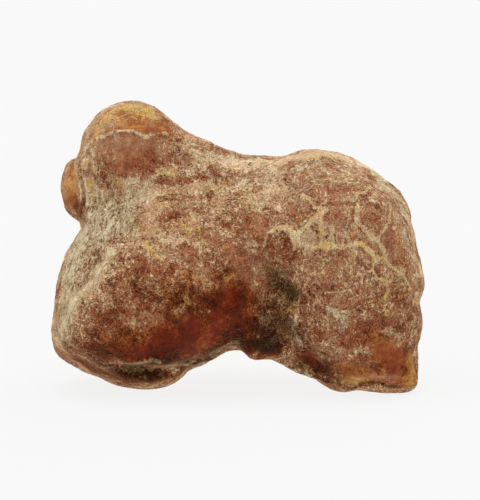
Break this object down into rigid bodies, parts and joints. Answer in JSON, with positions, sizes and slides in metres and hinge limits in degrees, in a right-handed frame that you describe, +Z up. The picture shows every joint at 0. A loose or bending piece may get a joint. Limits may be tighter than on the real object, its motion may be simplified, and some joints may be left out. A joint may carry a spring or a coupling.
{
  "type": "raw amber piece",
  "caption": "Raw lump of weathered amber: rounded swellings, a knob at one end, a valley, ledges and pits, lying on worn flats.",
  "frame": {"origin": "on the surface the lump lies on, under the middle of its length and depth", "axes": "+X along the lump from the knob end to the block end, +Y through it from its showing side, +Z up"},
  "size_m": [0.0558, 0.0282, 0.0435],
  "materials": {
    "amber": "red-brown amber under a tan, cracked weathering crust, with glossy clear windows"
  },
  "bodies": {
    "root": {"amber": "amber"}
  },
  "joints": []
}
